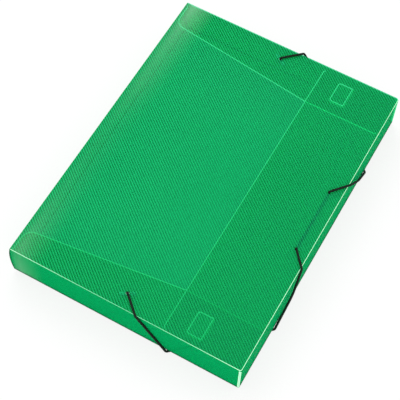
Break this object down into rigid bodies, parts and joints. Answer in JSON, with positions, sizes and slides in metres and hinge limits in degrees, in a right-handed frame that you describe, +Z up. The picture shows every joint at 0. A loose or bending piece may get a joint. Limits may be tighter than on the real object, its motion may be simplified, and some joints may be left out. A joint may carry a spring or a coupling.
{
  "type": "document box",
  "caption": "Flat green translucent plastic document box folded from a creased sheet, with flaps, locking tongues and an elastic cord over its corners.",
  "frame": {"origin": "under the middle of the whole box, at the height of what it rests on", "axes": "+Z up out of the cover, +X from the spine to the fore edge, +Y from the tail to the head, along the box's length"},
  "size_m": [0.2374, 0.3246, 0.0446],
  "materials": {
    "sheet": "translucent ribbed polypropylene, satin",
    "elastic": "braided cord",
    "barb": "plated, satin"
  },
  "bodies": {
    "back": {"back_panel": "sheet", "elastic_head_corner": "elastic", "elastic_tail_corner": "elastic"},
    "spine": {"spine_panel": "sheet"},
    "cover": {"front_cover": "sheet", "head_barb": "barb", "tail_barb": "barb", "elastic_middle": "elastic", "elastic_head_end": "elastic", "elastic_head_leg": "elastic", "elastic_head_fore_leg": "elastic", "elastic_tail_end": "elastic", "elastic_tail_leg": "elastic", "elastic_tail_fore_leg": "elastic"},
    "fore_wall": {"fore_edge_wall": "sheet"},
    "fore_flap": {"fore_edge_flap": "sheet"},
    "head_wall": {"head_wall": "sheet"},
    "head_flap": {"head_flap": "sheet"},
    "tail_wall": {"tail_wall": "sheet"},
    "tail_flap": {"tail_flap": "sheet"},
    "head_tongue": {"head_locking_tongue": "sheet"},
    "tail_tongue": {"tail_locking_tongue": "sheet"}
  },
  "joints": [
    {"name": "spine_hinge", "type": "hinge", "parent": "back", "child": "spine", "pos_m": [-0.11575, 0, 0.0031], "axis": [0, -1, 0], "range_deg": [0, 90]},
    {"name": "cover_hinge", "type": "hinge", "parent": "spine", "child": "cover", "pos_m": [-0.11575, 0, 0.0415], "axis": [0, -1, 0], "range_deg": [0, 90], "deforming": ["elastic_head_leg", "elastic_head_fore_leg", "elastic_tail_leg", "elastic_tail_fore_leg"]},
    {"name": "fore_wall_hinge", "type": "hinge", "parent": "back", "child": "fore_wall", "pos_m": [0.11565, 0, 0.0031], "axis": [0, 1, 0], "range_deg": [0, 90]},
    {"name": "fore_flap_hinge", "type": "hinge", "parent": "fore_wall", "child": "fore_flap", "pos_m": [0.11565, 0, 0.0382], "axis": [0, 1, 0], "range_deg": [0, 90]},
    {"name": "head_wall_hinge", "type": "hinge", "parent": "back", "child": "head_wall", "pos_m": [-0.00005, 0.1592, 0.0031], "axis": [-1, 0, 0], "range_deg": [0, 90]},
    {"name": "head_flap_hinge", "type": "hinge", "parent": "head_wall", "child": "head_flap", "pos_m": [-0.00005, 0.1592, 0.0369], "axis": [-1, 0, 0], "range_deg": [-60, 0]},
    {"name": "tail_wall_hinge", "type": "hinge", "parent": "back", "child": "tail_wall", "pos_m": [-0.00005, -0.1592, 0.0031], "axis": [1, 0, 0], "range_deg": [0, 90]},
    {"name": "tail_flap_hinge", "type": "hinge", "parent": "tail_wall", "child": "tail_flap", "pos_m": [-0.00005, -0.1592, 0.0369], "axis": [1, 0, 0], "range_deg": [-60, 0]},
    {"name": "head_tongue_hinge", "type": "hinge", "parent": "fore_flap", "child": "head_tongue", "pos_m": [0.07195, 0.139, 0.0382], "axis": [0, -1, 0], "range_deg": [0, 40], "stiffness_Nm_per_rad": 0.002},
    {"name": "tail_tongue_hinge", "type": "hinge", "parent": "fore_flap", "child": "tail_tongue", "pos_m": [0.07195, -0.139, 0.0382], "axis": [0, -1, 0], "range_deg": [0, 40], "stiffness_Nm_per_rad": 0.002}
  ],
  "couplings": [
    {"joint": "spine_hinge", "follows": "cover_hinge", "ratio": 1},
    {"joint": "fore_wall_hinge", "follows": "cover_hinge", "ratio": 1},
    {"joint": "fore_flap_hinge", "follows": "cover_hinge", "ratio": 1},
    {"joint": "head_wall_hinge", "follows": "cover_hinge", "ratio": 1},
    {"joint": "head_flap_hinge", "follows": "cover_hinge", "ratio": -0.6666},
    {"joint": "tail_wall_hinge", "follows": "cover_hinge", "ratio": 1},
    {"joint": "tail_flap_hinge", "follows": "cover_hinge", "ratio": -0.6666}
  ]
}
